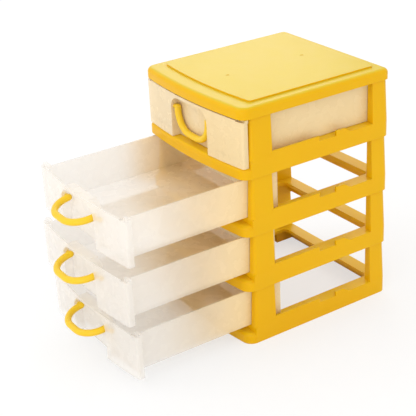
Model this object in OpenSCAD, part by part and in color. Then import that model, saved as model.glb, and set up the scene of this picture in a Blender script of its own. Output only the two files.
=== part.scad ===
// Desktop mini drawers: four stacking tier frames, a top cover, four translucent drawers
// and four bail handles. Millimetres, +Z up, the drawers open towards -Y.
// The origin is on the table, on the centre plane, midway between the front and rear posts.

/* [Stack] */
// Width across the tier frames and the top cover
frame_w = 125; // [115:1:150]
// Height that each tier adds to the stack
tier_pitch = 44; // [42:0.5:60]
// Clear length between a front post and a rear post
window_l = 91.4; // [84:0.2:120]
// Radius of the bowed front, in plan
bow_r = 420; // [300:10:900]
// How far the bowed front stands ahead of the front posts
front_reach = 10.5; // [10:0.5:14]
// Radius of the two front corners, in plan
front_corner_r = 8; // [6:0.5:9]
// Radius of the two rear corners, in plan
rear_corner_r = 5; // [4:0.5:6]

/* [Tier frame] */
// Wall of the skirt
skirt_wall = 1.2; // [1:0.1:1.6]
// Height of the ledge that carries a drawer
ledge_h = 12.6; // [11.6:0.2:14]
// Thickness of the ledge
ledge_t = 2; // [1.6:0.1:2.4]
// Width of the ledge on each side and at the rear
ledge_w = 10.4; // [9:0.2:12]
// Depth of the ledge behind the front posts' front faces
front_ledge_d = 15; // [10:0.5:18]
// Corner radius of the floor opening
opening_r = 4; // [2:0.5:6]
// Height of the rim round the floor opening
rim_h = 2.8; // [2.4:0.2:4]
// Height of the bowed front lip
lip_h = 8; // [7:0.5:9]
// Radius along the lip's front edge
lip_edge_r = 2.5; // [1:0.25:3]
// Thickness of the lip's top
lip_t = 1.8; // [1.4:0.1:2.2]

/* [Posts] */
// Thickness of a post, across the frame
post_w = 6.2; // [5.4:0.2:8]
// Depth of a front post
front_post_d = 18.3; // [14:0.1:20]
// Depth of a rear post
rear_post_d = 16.2; // [12:0.1:18]
// Radius of a front post's outer edge
post_edge_r = 2.5; // [1:0.25:3]
// Height of the tenon on top of a post
tenon_h = 6; // [4:0.5:6]
// Side clearance of a tenon in its socket
tenon_clear = 0.15; // [0.05:0.05:0.3]
// Wall of the sockets and of the hollow posts
socket_wall = 1.2; // [1:0.1:1.4]

/* [Side rails] */
// Height of the rail on the outer edge of each side ledge
rail_h = 3.6; // [2:0.2:6]
// Thickness of the rail
rail_t = 1.6; // [1.2:0.1:2.4]
// Length of the rail from the front post
rail_front_l = 41.5; // [30:0.5:50]
// Length of the gap behind the front rail
rail_gap_l = 15.5; // [8:0.5:20]
// Length of the short rail behind the gap
rail_block_l = 14; // [8:0.5:20]
// Length of the slope on the short rail's rear end
rail_slope_l = 6; // [2:0.5:8]

/* [Top cover] */
// Height of the cover's skirt
cover_h = 8; // [7.5:0.5:10]
// Radius along the cover's top edge
cover_edge_r = 3.5; // [2:0.25:4]
// Height of the raised panel
panel_h = 1.2; // [0.6:0.1:2]
// Margin from the panel to each side
panel_side_margin = 9.6; // [6:0.2:16]
// Margin from the panel to the bowed front
panel_front_margin = 14; // [8:0.5:20]
// Margin from the panel to the rear
panel_rear_margin = 8.6; // [6:0.2:16]
// Corner radius of the panel
panel_corner_r = 2; // [1:0.5:6]

/* [Drawer] */
// Wall of a drawer
drawer_wall = 1.3; // [1:0.1:1.8]
// Floor of a drawer
drawer_floor = 1.4; // [1:0.1:2]
// Gap between a drawer and what it slides on or past
slide_clear = 0.3; // [0.2:0.05:0.4]
// Gap between a drawer's side and the posts
side_clear = 0.7; // [0.4:0.1:1]
// Gap above a drawer's corner tabs
top_clear = 0.5; // [0.3:0.1:1]
// Setback of the drawer's front from the lip's face
front_setback = 0.8; // [0:0.1:2]
// Setback of the drawer front's sides from the frame's sides
front_side_setback = 1.7; // [1:0.1:3]
// Radius of the drawer front's corners, in plan
drawer_corner_r = 2; // [1.6:0.1:3]
// Setback of the drawer's rear from the frame's rear
rear_setback = 4.5; // [2:0.5:12]
// Height of the tabs on the front corners, over the side walls
tab_h = 1.4; // [0.5:0.1:3]
// How much lower the front's rim is than the side walls
front_rim_drop = 0.8; // [0:0.1:1.6]

/* [Handle niche] */
// Half the width of the arched niche
niche_half_w = 23; // [18:0.5:28]
// Depth of the niche behind the front face
niche_d = 7.4; // [6.5:0.1:9]
// Radius of the arch's shoulders
niche_shoulder_r = 10; // [4:0.5:12]
// Gap between the top of the niche and the side walls' rim
niche_top_gap = 1.8; // [1.8:0.2:5]

/* [Handle] */
// Diameter of the handle's rod
rod_d = 5; // [3.6:0.2:5.4]
// Gap between the rod and the niche's side walls
rod_side_clear = 1.1; // [0.6:0.1:1.6]
// Gap between the hanging rod and the niche's back wall
rod_back_clear = 0.6; // [0.3:0.1:1]
// Reach of the handle's centre line from its pins
handle_reach = 17.5; // [15:0.5:20]
// Radius of the two bends
handle_bend_r = 15.5; // [8:0.5:16]
// Diameter of the pins
pin_d = 3.6; // [2.4:0.1:4]
// Radial clearance of a pin in its bore
pin_clear = 0.06; // [0.02:0.01:0.1]
// How far a pin stands out behind the niche's wall
pin_end = 1.5; // [1:0.25:3]
// Height of the pins below the top of the niche
pin_drop = 9; // [6:0.25:12]

/* [Pulled out] */
// How far drawer 1, the lowest, stands open
drawer_1_out = 93.8; // [0:0.1:105]
// How far drawer 2 stands open
drawer_2_out = 97.8; // [0:0.1:105]
// How far drawer 3 stands open
drawer_3_out = 94.4; // [0:0.1:105]
// How far drawer 4, the highest, stands open
drawer_4_out = 0; // [0:0.1:105]
// Lift of the handles of drawers 1 to 3, from hanging
handle_lift = 80; // [0:1:95]

/* [Hidden] */
TIERS = [1 : 4];

$fn = 48;
bow_fn = 720;
edge_fn = 24;
puck_fn = 32;
over = 1;

frame_yellow = [0.95, 0.74, 0.09];
handle_yellow = [0.97, 0.80, 0.14];
milky = [0.98, 0.93, 0.85, 0.6];

drawer_out = [drawer_1_out, drawer_2_out, drawer_3_out, drawer_4_out];
lift = [handle_lift, handle_lift, handle_lift, 0];

half_w = frame_w / 2;
front_post_y = -window_l / 2 - front_post_d;
rear_y = window_l / 2 + rear_post_d;
front_y = front_post_y - front_reach;
bow_y = front_y + bow_r;
post_in_x = half_w - post_w;
post_inset = skirt_wall + tenon_clear;

opening_half_w = half_w - ledge_w;
opening_front_y = front_post_y + front_ledge_d;
opening_rear_y = rear_y - ledge_w;
socket_z = tenon_h;
cover_t = cover_h - tenon_h;

front_half_w = half_w - front_side_setback;
body_half_w = post_in_x - side_clear;
drawer_bow_r = bow_r - front_setback;
drawer_front_y = bow_y - drawer_bow_r;
block_rear_y = front_post_y - slide_clear;
drawer_rear_y = rear_y - rear_setback;
front_bottom_z = lip_h + slide_clear;
floor_z = ledge_h + slide_clear;
floor_top_z = floor_z + drawer_floor;
tab_top_z = tier_pitch - top_clear;
rim_z = tab_top_z - tab_h;
front_rim_z = rim_z - front_rim_drop;

niche_back_y = drawer_front_y + niche_d;
niche_top_z = rim_z - niche_top_gap;
rod_r = rod_d / 2;
arm_x = niche_half_w - rod_side_clear - rod_r;
pin_z = niche_top_z - pin_drop;
pin_y = niche_back_y - rod_r - rod_back_clear;
pin_r = pin_d / 2;
boss_r = pin_r + drawer_wall;
boss_l = 1;

// y of the centre of a corner that is tangent to the bow
function corner_y(half, r, bow) = bow_y - sqrt(pow(bow - r, 2) - pow(half - r, 2));
// angle from the centre line to such a corner's centre, seen from the bow's centre
function corner_angle(half, r, bow) = asin((half - r) / (bow - r));

// outline with a bowed front: half width, front corner radius, bow radius, rear y, rear radius
module bow_plan(half, front_r, bow, rear, rear_r) {
    cx = half - front_r;
    cy = corner_y(half, front_r, bow);
    rx = half - rear_r;
    beyond = (bow + 10) / (bow - front_r);
    far_x = cx * beyond;
    far_y = bow_y - (bow_y - cy) * beyond;
    intersection() {
        union() {
            for (side = [-1, 1])
                translate([side * cx, cy]) circle(r = front_r);
            intersection() {
                translate([0, bow_y]) circle(r = bow, $fn = bow_fn);
                polygon([[-cx, cy], [-far_x, far_y], [far_x, far_y], [cx, cy]]);
            }
            translate([-half, cy]) square([2 * half, rear_y - cy + over]);
        }
        union() {
            for (side = [-1, 1])
                translate([side * rx, rear - rear_r]) circle(r = rear_r);
            translate([-half, far_y]) square([2 * half, rear - rear_r - far_y]);
            translate([-rx, far_y]) square([2 * rx, rear - far_y]);
        }
    }
}

// outline of the frames and the cover, drawn in by an inset
module frame_plan(inset) {
    bow_plan(half_w - inset, front_corner_r - inset, bow_r - inset,
             rear_y - inset, rear_corner_r - inset);
}

// upright disc with a rounded top edge
module puck(r, h, edge) {
    rotate_extrude($fn = puck_fn) {
        square([r - edge, h]);
        square([r, h - edge]);
        intersection() {
            translate([r - edge, h - edge]) circle(r = edge, $fn = edge_fn);
            square([r, h]);
        }
    }
}

// slab on the frame's outline with a rounded top edge
module rounded_slab(h, edge) {
    steps = 4;
    reach = bow_r - front_corner_r;
    half_angle = corner_angle(half_w, front_corner_r, bow_r);
    hull() {
        for (side = [-1, 1])
            translate([side * (half_w - rear_corner_r), rear_y - rear_corner_r])
                puck(rear_corner_r, h, edge);
        for (i = [-steps : steps])
            translate([reach * sin(i / steps * half_angle),
                       bow_y - reach * cos(i / steps * half_angle)])
                puck(front_corner_r, h, edge);
    }
}

// copies a right-hand child to the left as well
module both_sides() {
    for (side = [0, 1])
        mirror([side, 0, 0]) children();
}

// plan of a post, from its inner corner, with its outer edge rounded
module post_plan(depth, r) {
    difference() {
        square([post_w, depth]);
        translate([post_w - r, depth - r])
            difference() {
                square(r + over);
                circle(r = r);
            }
    }
}

// post that leans in towards its tenon, from its inner corner
module post(depth, r) {
    top_scale = [(post_w - post_inset) / post_w, (depth - post_inset) / depth];
    translate([0, 0, socket_z]) linear_extrude(ledge_h - socket_z) post_plan(depth, r);
    translate([0, 0, ledge_h])
        linear_extrude(tier_pitch - ledge_h, scale = top_scale, slices = 1) post_plan(depth, r);
    translate([0, 0, tier_pitch])
        linear_extrude(tenon_h) scale(top_scale) post_plan(depth, r);
}

// hollow of a post, open from below
module post_core(depth) {
    core_w = post_w - post_inset - 2 * socket_wall;
    core_d = depth - post_inset - 2 * socket_wall;
    translate([socket_wall, socket_wall, -over])
        cube([core_w, core_d, tier_pitch + tenon_h - socket_wall + over]);
}

// walls of the socket that takes the tenon of the post below
module socket(depth) {
    inner_w = post_w - skirt_wall + tenon_clear;
    inner_d = depth - skirt_wall + tenon_clear;
    difference() {
        translate([-tenon_clear - socket_wall, -tenon_clear - socket_wall, 0])
            cube([inner_w + 2 * socket_wall, inner_d + 2 * socket_wall, ledge_h - ledge_t / 2]);
        translate([-tenon_clear, -tenon_clear, -over]) cube([inner_w, inner_d, socket_z + over]);
    }
}

// places a post-shaped child at the two right-hand corners
module at_posts() {
    translate([post_in_x, window_l / 2, 0]) children(0);
    translate([post_in_x, -window_l / 2, 0]) mirror([0, 1, 0]) children(1);
}

// raised rail on the outer edge of a side ledge
module side_rail() {
    rail_z = ledge_h - ledge_t / 2;
    rail_top = ledge_h + rail_h;
    block_y = -window_l / 2 + rail_front_l + rail_gap_l;
    translate([half_w - rail_t, 0, 0]) {
        translate([0, -window_l / 2 - over, rail_z]) cube([rail_t, rail_front_l + over, rail_top - rail_z]);
        translate([0, block_y, 0])
            rotate([90, 0, 90])
                linear_extrude(rail_t)
                    polygon([[0, rail_z], [rail_block_l, rail_z], [rail_block_l, ledge_h],
                             [rail_block_l - rail_slope_l, rail_top], [0, rail_top]]);
    }
}

// opening in the ledge
module floor_opening(grow) {
    r = opening_r + grow;
    w = opening_half_w + grow;
    for (x = [-1, 1], y = [opening_front_y - grow + r, opening_rear_y + grow - r])
        translate([x * (w - r), y]) circle(r = r);
    translate([-w, opening_front_y - grow + r])
        square([2 * w, opening_rear_y - opening_front_y + 2 * grow - 2 * r]);
    translate([-w + r, opening_front_y - grow])
        square([2 * (w - r), opening_rear_y - opening_front_y + 2 * grow]);
}

// the half plane behind a line across the frame, as a block
module behind(y, h) {
    translate([-half_w - over, y, -over]) cube([frame_w + 2 * over, rear_y - y + over, h + over]);
}

module tier_frame() {
    color(frame_yellow) difference() {
        union() {
            difference() {
                union() {
                    intersection() {
                        linear_extrude(ledge_h) frame_plan(0);
                        behind(front_post_y, ledge_h);
                    }
                    intersection() {
                        rounded_slab(lip_h, lip_edge_r);
                        translate([-half_w, front_y, 0])
                            cube([frame_w, front_post_y - front_y, lip_h]);
                    }
                }
                translate([0, 0, -over]) linear_extrude(over + lip_h - lip_t) frame_plan(skirt_wall);
                intersection() {
                    translate([0, 0, -over]) linear_extrude(over + ledge_h - ledge_t) frame_plan(skirt_wall);
                    behind(front_post_y + skirt_wall, ledge_h);
                }
            }
            translate([0, 0, ledge_h - rim_h]) linear_extrude(rim_h) floor_opening(skirt_wall);
            intersection() {
                linear_extrude(ledge_h) frame_plan(0);
                both_sides() at_posts() {
                    socket(rear_post_d);
                    socket(front_post_d);
                }
            }
            both_sides() {
                at_posts() {
                    post(rear_post_d, rear_corner_r);
                    post(front_post_d, post_edge_r);
                }
                side_rail();
            }
        }
        translate([0, 0, -over]) linear_extrude(ledge_h + 2 * over) floor_opening(0);
        both_sides() at_posts() {
            post_core(rear_post_d);
            post_core(front_post_d);
        }
    }
}

module top_cover() {
    panel_bow = bow_r - panel_front_margin;
    gate_r = 1.3;
    gate_depth = 0.3;
    gates_y = [-38, 30];
    color(frame_yellow) difference() {
        union() {
            rounded_slab(cover_h, cover_edge_r);
            translate([0, 0, cover_h - over])
                linear_extrude(over + panel_h)
                    bow_plan(half_w - panel_side_margin, panel_corner_r, panel_bow,
                             rear_y - panel_rear_margin, panel_corner_r);
        }
        translate([0, 0, -over]) linear_extrude(over + cover_h - cover_t) frame_plan(skirt_wall);
        for (y = gates_y)
            translate([0, y, cover_h + panel_h - gate_depth]) cylinder(r = gate_r, h = gate_depth + over);
    }
}

// outline of the drawer's front block, drawn in by an inset
module drawer_front_plan(inset) {
    bow_plan(front_half_w - inset, drawer_corner_r - inset / 2, drawer_bow_r - inset,
             block_rear_y - inset, drawer_corner_r / 2);
}

// arched niche that holds the handle, grown by a wall
module niche(grow) {
    half = niche_half_w + grow;
    r = niche_shoulder_r + grow;
    top = niche_top_z + grow;
    bottom = front_bottom_z - 2 * over;
    translate([0, niche_back_y + grow, 0])
        rotate([90, 0, 0])
            linear_extrude(niche_d + 3 * over) {
                for (side = [-1, 1])
                    translate([side * (half - r), top - r]) circle(r = r);
                translate([-half, bottom]) square([2 * half, top - r - bottom]);
                translate([-(half - r), bottom]) square([2 * (half - r), top - bottom]);
            }
}

// pin bores, or their bosses, in both of the niche's side walls
module pin_cylinders(r, x0, l) {
    both_sides() translate([x0, pin_y, pin_z]) rotate([0, 90, 0]) cylinder(r = r, h = l);
}

module drawer() {
    inner_half = body_half_w - drawer_wall;
    color(milky) difference() {
        union() {
            difference() {
                union() {
                    translate([0, 0, front_bottom_z])
                        linear_extrude(rim_z - front_bottom_z) drawer_front_plan(0);
                    translate([-body_half_w, block_rear_y - over, floor_z])
                        cube([2 * body_half_w, drawer_rear_y - block_rear_y + over, rim_z - floor_z]);
                }
                // inside of the tray, less the niche's walls
                difference() {
                    translate([0, 0, floor_top_z]) linear_extrude(tier_pitch) {
                        drawer_front_plan(drawer_wall);
                        translate([-inner_half, block_rear_y - 2 * drawer_wall])
                            square([2 * inner_half, drawer_rear_y - block_rear_y + drawer_wall]);
                    }
                    niche(drawer_wall);
                }
                // hollow under the front block's floor
                difference() {
                    translate([0, 0, front_bottom_z - over])
                        linear_extrude(over + floor_z - front_bottom_z) drawer_front_plan(drawer_wall);
                    niche(drawer_wall);
                }
                // the front's rim is lower between the corner tabs
                translate([-inner_half, front_y, front_rim_z])
                    cube([2 * inner_half, block_rear_y - front_y - drawer_wall, tier_pitch]);
            }
            // tabs on the front corners
            both_sides()
                translate([inner_half, block_rear_y - drawer_wall - tab_h, rim_z - over])
                    cube([front_half_w - inner_half, drawer_wall + tab_h, over + tab_h]);
            pin_cylinders(boss_r, niche_half_w + drawer_wall / 2, drawer_wall / 2 + boss_l);
        }
        niche(0);
        pin_cylinders(pin_r + pin_clear, niche_half_w - over, drawer_wall + boss_l + 2 * over);
    }
}

// the handle hangs from its pins, which lie on the X axis
module handle_shape() {
    turn_z = -handle_reach + handle_bend_r;
    pin_l = rod_side_clear + rod_r + drawer_wall + boss_l + pin_end;
    both_sides() {
        translate([arm_x, 0, 0]) sphere(r = rod_r);
        translate([arm_x, 0, turn_z]) cylinder(r = rod_r, h = -turn_z);
        translate([arm_x - handle_bend_r, 0, turn_z])
            rotate([90, 90, 0])
                rotate_extrude(angle = 90) translate([handle_bend_r, 0]) circle(r = rod_r);
        translate([0, 0, -handle_reach]) rotate([0, 90, 0]) cylinder(r = rod_r, h = arm_x - handle_bend_r);
        translate([arm_x, 0, 0]) rotate([0, 90, 0]) cylinder(r = pin_r, h = pin_l);
    }
}

module handle(tier) {
    color(handle_yellow) translate([0, pin_y, pin_z]) rotate([-lift[tier - 1], 0, 0]) handle_shape();
}

// puts a tier's child at its height
module in_tier(tier) {
    translate([0, 0, (tier - 1) * tier_pitch]) children();
}

// moves a drawer and its handle out by the drawer's setting
module pulled_out(tier) {
    in_tier(tier) translate([0, -drawer_out[tier - 1], 0]) children();
}

in_tier(5) top_cover();
for (tier = TIERS) {
    in_tier(tier) tier_frame();
    pulled_out(tier) drawer();
    pulled_out(tier) handle(tier);
}
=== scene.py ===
"""Looks of the desktop mini drawers: finishes, soft edges, camera and light.

Lengths are in metres, in the CAD frame.
"""

import math

import bpy
from mathutils import Matrix, Vector

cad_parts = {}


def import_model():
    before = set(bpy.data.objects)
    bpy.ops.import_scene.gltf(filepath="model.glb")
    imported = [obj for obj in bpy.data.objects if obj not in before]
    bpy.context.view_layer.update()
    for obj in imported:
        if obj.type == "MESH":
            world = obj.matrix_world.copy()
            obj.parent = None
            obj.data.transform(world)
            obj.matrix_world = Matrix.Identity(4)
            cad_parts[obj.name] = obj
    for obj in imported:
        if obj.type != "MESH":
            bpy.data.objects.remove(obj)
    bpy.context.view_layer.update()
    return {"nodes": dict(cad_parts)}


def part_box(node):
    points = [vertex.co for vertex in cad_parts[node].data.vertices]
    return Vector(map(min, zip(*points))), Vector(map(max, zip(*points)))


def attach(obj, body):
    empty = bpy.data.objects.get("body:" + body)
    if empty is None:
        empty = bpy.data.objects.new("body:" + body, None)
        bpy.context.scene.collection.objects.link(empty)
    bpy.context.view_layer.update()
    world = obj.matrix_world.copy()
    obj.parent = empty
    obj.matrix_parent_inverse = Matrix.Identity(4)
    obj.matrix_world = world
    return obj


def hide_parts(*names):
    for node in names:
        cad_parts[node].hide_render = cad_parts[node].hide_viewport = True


MM = 0.001

# Camera, fitted to the photograph
CAMERA_PLACE = (634.70 * MM, -470.91 * MM, 450.99 * MM)
CAMERA_AZIMUTH = math.radians(57.104)
CAMERA_ELEVATION = math.radians(25.763)
CAMERA_ROLL = math.radians(-2.914)
CAMERA_NEAREST = 0.01
CAMERA_FARTHEST = 10.0
FOCAL_PIXELS = 1124.52
IMAGE_PIXELS = 416
SENSOR_WIDTH = 36.0

# Area lights: name, place, what it is aimed at, diameter and watts
TOWER_MIDDLE = (0, -0.03, 0.09)
COVER_MIDDLE = (0, 0, 0.185)
LIGHTS = (
    ("key", (-0.5, -0.9, 1.1), TOWER_MIDDLE, 0.9, 2.0),
    ("front", (0.75, -1.05, 0.35), TOWER_MIDDLE, 0.9, 2.5),
    ("sheen", (-0.95, 0.62, 0.62), COVER_MIDDLE, 0.5, 1.0),
)

# The world's fill, and the floor: its half width, its colour and the share of it
# that is plain white where it is seen
FILL = 1.04
FLOOR_HALF = 3.0
FLOOR_WHITE = (0.93, 0.93, 0.93)
FLOOR_PLAIN = 0.62

# Colours, linear
FRAME_YELLOW = (0.80, 0.45, 0.001)
FRAME_AMBER = (0.775, 0.41, 0.001)
# Painted light: the frame's up-facing faces are lighter, as if lit from above
FRAME_TOP_PAINTED_LIGHT = (0.90, 0.58, 0.015)
# Painted sheen and light: the cover's top is paler, as if glossy and lit from above
COVER_TOP_PAINTED_SHEEN = (0.70, 0.54, 0.032)
HANDLE_YELLOW = (0.86, 0.575, 0.02)
HANDLE_AMBER = (0.84, 0.535, 0.012)
MILKY_WHITE = (0.995, 0.96, 0.912)
# Painted glow: the drawers' warm tint where the yellow frame would light them
MILKY_PAINTED_GLOW = (0.998, 0.78, 0.41)

# Gloss: lowest and highest roughness, and strength of the highlights
FRAME_ROUGHNESS = (0.25, 0.37)
FRAME_SHINE = 0.16
HANDLE_ROUGHNESS = (0.23, 0.35)
HANDLE_SHINE = 0.35
MILKY_ROUGHNESS = (0.2, 0.34)
PLASTIC_IOR = 1.49

# Light that spreads under the yellow surfaces
SUBSURFACE_WEIGHT = 0.15
SUBSURFACE_RADIUS = (1.0, 0.6, 0.2)
SUBSURFACE_SCALE = 3 * MM

# Edges as the light sees them, and the orange peel: its depth, then strength and noise scale
EDGE_ROUND = 0.45 * MM
EDGE_SAMPLES = 6
PEEL_DEPTH = 0.4 * MM
YELLOW_PEEL = (0.06, 700.0)
MILKY_PEEL = (0.02, 500.0)

# Noise, scale and detail: drift of the yellow, clouds in the milky plastic, smudges of the gloss
DRIFT = (22.0, 3.0)
CLOUDS = (18.0, 3.0)
SMUDGES = (90.0, 4.0)
PEEL_DETAIL = 2.0

# How far the drift and the clouds reach from the first colour to the second
DRIFT_SHARES = (-0.2, 1.2)
CLOUD_SHARE = 0.04

# Faces that look up are paler, painted light from above: from what height of the normal, and by
# how much
PAINTED_TOP_LIGHT_FROM = 0.7
PAINTED_TOP_LIGHT_SHARE = 0.8

# Where in the tower the drawers take a painted warm glow, standing in for the yellow frame's
# light, front to rear and left to right, and where they count as being in the frame
PAINTED_GLOW_FROM = -150 * MM
PAINTED_GLOW_TO = -60 * MM
PAINTED_GLOW_LEFT = -60 * MM
PAINTED_GLOW_RIGHT = 20 * MM
HOUSED_FROM = -110 * MM
HOUSED_TO = -68 * MM

# How strong the painted glow is, at the left and the right of the open part, and everywhere in the
# frame
PAINTED_GLOW_SHARES = (0.15, 0.95)
PAINTED_GLOW_HOUSED = 0.8

# Light through a drawer's face, out of the frame and in it: share that passes straight,
# and share of the rest that passes scattered
CLEAR_SHARES = (0.62, 0.3)
SCATTER_SHARES = (0.2, 0.0)

# Top edge of a drawer's front wall: how far below the corner tabs, half its width, and its lift
RIM_BELOW_TABS = 2.2 * MM
RIM_TOLERANCE = 0.01 * MM
RIM_HALF = 54.4 * MM
RIM_LIFT = 1.5 * MM

TIER_NODES = ("tier_frame_1", "tier_frame_2", "tier_frame_3", "tier_frame_4")
HANDLE_NODES = ("handle_1", "handle_2", "handle_3", "handle_4")


def place_camera():
    """The camera at the photograph's viewing angle."""
    a, e, r = CAMERA_AZIMUTH, CAMERA_ELEVATION, CAMERA_ROLL
    back = Vector((math.sin(a) * math.cos(e), -math.cos(a) * math.cos(e), math.sin(e)))
    right = (-back).cross(Vector((0, 0, 1))).normalized()
    up = right.cross(-back)
    x_axis = right * math.cos(r) + up * math.sin(r)
    y_axis = -right * math.sin(r) + up * math.cos(r)
    turn = Matrix((x_axis, y_axis, back)).transposed()
    data = bpy.data.cameras.new("camera")
    data.sensor_width = SENSOR_WIDTH
    data.lens = FOCAL_PIXELS / IMAGE_PIXELS * SENSOR_WIDTH
    data.clip_start = CAMERA_NEAREST
    data.clip_end = CAMERA_FARTHEST
    camera = bpy.data.objects.new("camera", data)
    camera.matrix_world = Matrix.Translation(CAMERA_PLACE) @ turn.to_4x4()
    bpy.context.scene.collection.objects.link(camera)
    bpy.context.scene.camera = camera


class Nodes:
    """Short calls for building a node tree."""

    def __init__(self, owner):
        owner.use_nodes = True
        self.tree = owner.node_tree
        self.tree.nodes.clear()

    def add(self, kind, **settings):
        node = self.tree.nodes.new(kind)
        for name, value in settings.items():
            setattr(node, name, value)
        return node

    def link(self, source, target):
        self.tree.links.new(source, target)


def noise(nodes, where, scale, detail):
    texture = nodes.add("ShaderNodeTexNoise")
    texture.inputs["Scale"].default_value = scale
    texture.inputs["Detail"].default_value = detail
    nodes.link(where, texture.inputs["Vector"])
    return texture.outputs["Fac"]


def between(nodes, value, low, high):
    """value from 0 to 1 spread from low to high."""
    ramp = nodes.add("ShaderNodeMapRange")
    ramp.inputs["To Min"].default_value = low
    ramp.inputs["To Max"].default_value = high
    nodes.link(value, ramp.inputs["Value"])
    return ramp.outputs["Result"]


def spread(nodes, value, start, end):
    """0 where value is at start or before, 1 from end on, smooth between."""
    ramp = nodes.add("ShaderNodeMapRange", interpolation_type="SMOOTHSTEP")
    ramp.inputs["From Min"].default_value = start
    ramp.inputs["From Max"].default_value = end
    nodes.link(value, ramp.inputs["Value"])
    return ramp.outputs["Result"]


def computed(nodes, operation, first, second):
    result = nodes.add("ShaderNodeMath", operation=operation)
    nodes.link(first, result.inputs[0])
    nodes.link(second, result.inputs[1])
    return result.outputs["Value"]


def mixed(nodes, value, first, second):
    """first where value is 0, second where it is 1; each is a colour or the output of a node."""
    mix = nodes.add("ShaderNodeMix", data_type="RGBA")
    ends = [socket for socket in mix.inputs if socket.type == "RGBA"]
    for socket, colour in zip(ends, (first, second)):
        if isinstance(colour, tuple):
            socket.default_value = (*colour, 1)
        else:
            nodes.link(colour, socket)
    nodes.link(value, mix.inputs["Factor"])
    return next(output for output in mix.outputs if output.type == "RGBA")


def blended(nodes, share, first, second):
    """The first shader where share is 0, the second where it is 1."""
    mix = nodes.add("ShaderNodeMixShader")
    nodes.link(share, mix.inputs["Fac"])
    nodes.link(first, mix.inputs[1])
    nodes.link(second, mix.inputs[2])
    return mix.outputs["Shader"]


def finish_face(nodes, where, shader, peel_strength, peel_scale):
    """Soft edges and a fine orange peel on the shader's normal."""
    edge = nodes.add("ShaderNodeBevel", samples=EDGE_SAMPLES)
    edge.inputs["Radius"].default_value = EDGE_ROUND
    peel = nodes.add("ShaderNodeBump")
    peel.inputs["Strength"].default_value = peel_strength
    peel.inputs["Distance"].default_value = PEEL_DEPTH
    nodes.link(noise(nodes, where, peel_scale, PEEL_DETAIL), peel.inputs["Height"])
    nodes.link(edge.outputs["Normal"], peel.inputs["Normal"])
    nodes.link(peel.outputs["Normal"], shader.inputs["Normal"])
    shader.inputs["IOR"].default_value = PLASTIC_IOR


def moulded_plastic(name, light, dark, top, roughness, shine):
    """Injection-moulded polypropylene: slight colour drift, top faces paler as painted light,
    uneven gloss.
    """
    material = bpy.data.materials.new(name)
    nodes = Nodes(material)
    where = nodes.add("ShaderNodeTexCoord").outputs["Object"]
    drift = between(nodes, noise(nodes, where, *DRIFT), *DRIFT_SHARES)
    body = mixed(nodes, drift, light, dark)
    facing = nodes.add("ShaderNodeSeparateXYZ")
    nodes.link(nodes.add("ShaderNodeTexCoord").outputs["Normal"], facing.inputs["Vector"])
    # Painted light: faces that look up take the paler top colour
    painted_top_light = spread(nodes, facing.outputs["Z"], PAINTED_TOP_LIGHT_FROM, 1.0)
    colour = mixed(nodes, between(nodes, painted_top_light, 0.0, PAINTED_TOP_LIGHT_SHARE), body, top)
    shader = nodes.add("ShaderNodeBsdfPrincipled")
    nodes.link(colour, shader.inputs["Base Color"])
    gloss = between(nodes, noise(nodes, where, *SMUDGES), *roughness)
    nodes.link(gloss, shader.inputs["Roughness"])
    finish_face(nodes, where, shader, *YELLOW_PEEL)
    shader.inputs["Specular IOR Level"].default_value = shine
    shader.inputs["Subsurface Weight"].default_value = SUBSURFACE_WEIGHT
    shader.inputs["Subsurface Radius"].default_value = SUBSURFACE_RADIUS
    shader.inputs["Subsurface Scale"].default_value = SUBSURFACE_SCALE
    output = nodes.add("ShaderNodeOutputMaterial")
    nodes.link(shader.outputs["BSDF"], output.inputs["Surface"])
    return material


def milky_plastic(name, light, dark, tower):
    """Thin milky polypropylene: part of the light passes straight, part is scattered.

    The tint is random clouds plus a painted glow, warm where the yellow frame would light the
    drawer; tint and clearness go by the place in the tower, not by the place on the drawer.
    """
    material = bpy.data.materials.new(name)
    nodes = Nodes(material)
    where = nodes.add("ShaderNodeTexCoord").outputs["Object"]
    place = nodes.add("ShaderNodeSeparateXYZ")
    in_tower = nodes.add("ShaderNodeTexCoord", object=tower).outputs["Object"]
    nodes.link(in_tower, place.inputs["Vector"])
    # Painted glow: a warm tint where the yellow frame would light the drawer, by the place in the
    # tower
    near = spread(nodes, place.outputs["Y"], PAINTED_GLOW_FROM, PAINTED_GLOW_TO)
    housed = spread(nodes, place.outputs["Y"], HOUSED_FROM, HOUSED_TO)
    sideways = spread(nodes, place.outputs["X"], PAINTED_GLOW_LEFT, PAINTED_GLOW_RIGHT)
    open_part = between(nodes, sideways, *PAINTED_GLOW_SHARES)
    in_frame = between(nodes, housed, 0.0, PAINTED_GLOW_HOUSED)
    painted_glow = computed(nodes, "MULTIPLY", near, computed(nodes, "MAXIMUM", open_part, in_frame))
    cloud = nodes.add("ShaderNodeMath", operation="MULTIPLY_ADD")
    cloud.inputs[1].default_value = CLOUD_SHARE
    nodes.link(noise(nodes, where, *CLOUDS), cloud.inputs[0])
    nodes.link(painted_glow, cloud.inputs[2])
    clouds_and_painted_glow = mixed(nodes, cloud.outputs["Value"], light, dark)
    face = nodes.add("ShaderNodeBsdfPrincipled")
    nodes.link(clouds_and_painted_glow, face.inputs["Base Color"])
    gloss = between(nodes, noise(nodes, where, *SMUDGES), *MILKY_ROUGHNESS)
    nodes.link(gloss, face.inputs["Roughness"])
    finish_face(nodes, where, face, *MILKY_PEEL)
    through = nodes.add("ShaderNodeBsdfTranslucent")
    nodes.link(clouds_and_painted_glow, through.inputs["Color"])
    clear = nodes.add("ShaderNodeBsdfTransparent")
    scattered = between(nodes, housed, *SCATTER_SHARES)
    solid = blended(nodes, scattered, face.outputs["BSDF"], through.outputs["BSDF"])
    straight = between(nodes, housed, *CLEAR_SHARES)
    output = nodes.add("ShaderNodeOutputMaterial")
    nodes.link(blended(nodes, straight, solid, clear.outputs["BSDF"]), output.inputs["Surface"])
    return material


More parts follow.
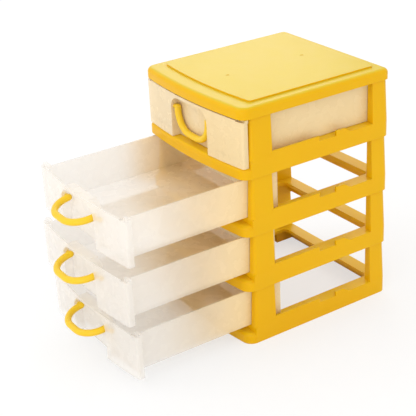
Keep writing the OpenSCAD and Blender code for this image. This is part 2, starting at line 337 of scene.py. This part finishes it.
def raise_front(node, body, material):
    """A drawer shown with a higher front wall, so that no dark gap opens under the lip above."""
    mesh = node.data.copy()
    mesh.name = node.name + "_shell"
    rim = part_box(node.name)[1][2] - RIM_BELOW_TABS
    for vertex in mesh.vertices:
        if abs(vertex.co.z - rim) < RIM_TOLERANCE and abs(vertex.co.x) < RIM_HALF:
            vertex.co.z += RIM_LIFT
    shell = bpy.data.objects.new(mesh.name, mesh)
    bpy.context.scene.collection.objects.link(shell)
    mesh.materials.clear()
    mesh.materials.append(material)
    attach(shell, body)
    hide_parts(node.name)


def dress(frame, names, material):
    for name in names:
        slots = frame["nodes"][name].data.materials
        slots.clear()
        slots.append(material)


def seen_directly(nodes):
    """1 for rays from the camera and for those mirrored or let through by the object."""
    path = nodes.add("ShaderNodeLightPath")
    seen = computed(nodes, "MAXIMUM", path.outputs["Is Camera Ray"], path.outputs["Is Glossy Ray"])
    return computed(nodes, "MAXIMUM", seen, path.outputs["Is Transmission Ray"])


def floor_material():
    material = bpy.data.materials.new("floor")
    nodes = Nodes(material)
    diffuse = nodes.add("ShaderNodeBsdfDiffuse")
    diffuse.inputs["Color"].default_value = (*FLOOR_WHITE, 1)
    plain = nodes.add("ShaderNodeEmission")
    share = between(nodes, seen_directly(nodes), 0.0, FLOOR_PLAIN)
    shader = blended(nodes, share, diffuse.outputs["BSDF"], plain.outputs["Emission"])
    output = nodes.add("ShaderNodeOutputMaterial")
    nodes.link(shader, output.inputs["Surface"])
    return material


def make_floor():
    mesh = bpy.data.meshes.new("floor")
    corners = [(-1, -1), (1, -1), (1, 1), (-1, 1)]
    points = [(x * FLOOR_HALF, y * FLOOR_HALF, 0) for x, y in corners]
    mesh.from_pydata(points, [], [(0, 1, 2, 3)])
    mesh.materials.append(floor_material())
    floor = bpy.data.objects.new("floor", mesh)
    bpy.context.scene.collection.objects.link(floor)


def make_world():
    """Soft white light from all round; rays that see the world directly see plain white."""
    world = bpy.data.worlds.new("world")
    bpy.context.scene.world = world
    nodes = Nodes(world)
    fill = nodes.add("ShaderNodeBackground")
    fill.inputs["Strength"].default_value = FILL
    white = nodes.add("ShaderNodeBackground")
    white.inputs["Strength"].default_value = 1.0
    for background in (fill, white):
        background.inputs["Color"].default_value = (1, 1, 1, 1)
    seen = seen_directly(nodes)
    shader = blended(nodes, seen, fill.outputs["Background"], white.outputs["Background"])
    output = nodes.add("ShaderNodeOutputWorld")
    nodes.link(shader, output.inputs["Surface"])


def area_light(name, place, target, size, watts):
    data = bpy.data.lights.new(name, "AREA")
    data.shape = "DISK"
    data.size = size
    data.energy = watts
    light = bpy.data.objects.new(name, data)
    turn = (Vector(target) - Vector(place)).to_track_quat("-Z", "Y")
    light.matrix_world = Matrix.Translation(place) @ turn.to_matrix().to_4x4()
    bpy.context.scene.collection.objects.link(light)


def main():
    bpy.ops.wm.read_factory_settings(use_empty=True)
    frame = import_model()
    place_camera()
    bpy.context.scene.view_settings.view_transform = "Standard"
    make_world()
    for light in LIGHTS:
        area_light(*light)
    make_floor()
    gloss = (FRAME_ROUGHNESS, FRAME_SHINE)
    yellow = moulded_plastic("frame_plastic", FRAME_YELLOW, FRAME_AMBER, FRAME_TOP_PAINTED_LIGHT, *gloss)
    cover = moulded_plastic("cover_plastic", FRAME_YELLOW, FRAME_AMBER, COVER_TOP_PAINTED_SHEEN, *gloss)
    gloss = (HANDLE_ROUGHNESS, HANDLE_SHINE)
    handle = moulded_plastic("handle_plastic", HANDLE_YELLOW, HANDLE_AMBER, HANDLE_YELLOW, *gloss)
    tower = frame["nodes"]["tier_frame_1"]
    milky = milky_plastic("drawer_plastic", MILKY_WHITE, MILKY_PAINTED_GLOW, tower)
    dress(frame, TIER_NODES, yellow)
    dress(frame, ("top_cover",), cover)
    dress(frame, HANDLE_NODES, handle)
    for number in (1, 2, 3, 4):
        raise_front(frame["nodes"][f"drawer_{number}"], f"drawer_body_{number}", milky)


main()
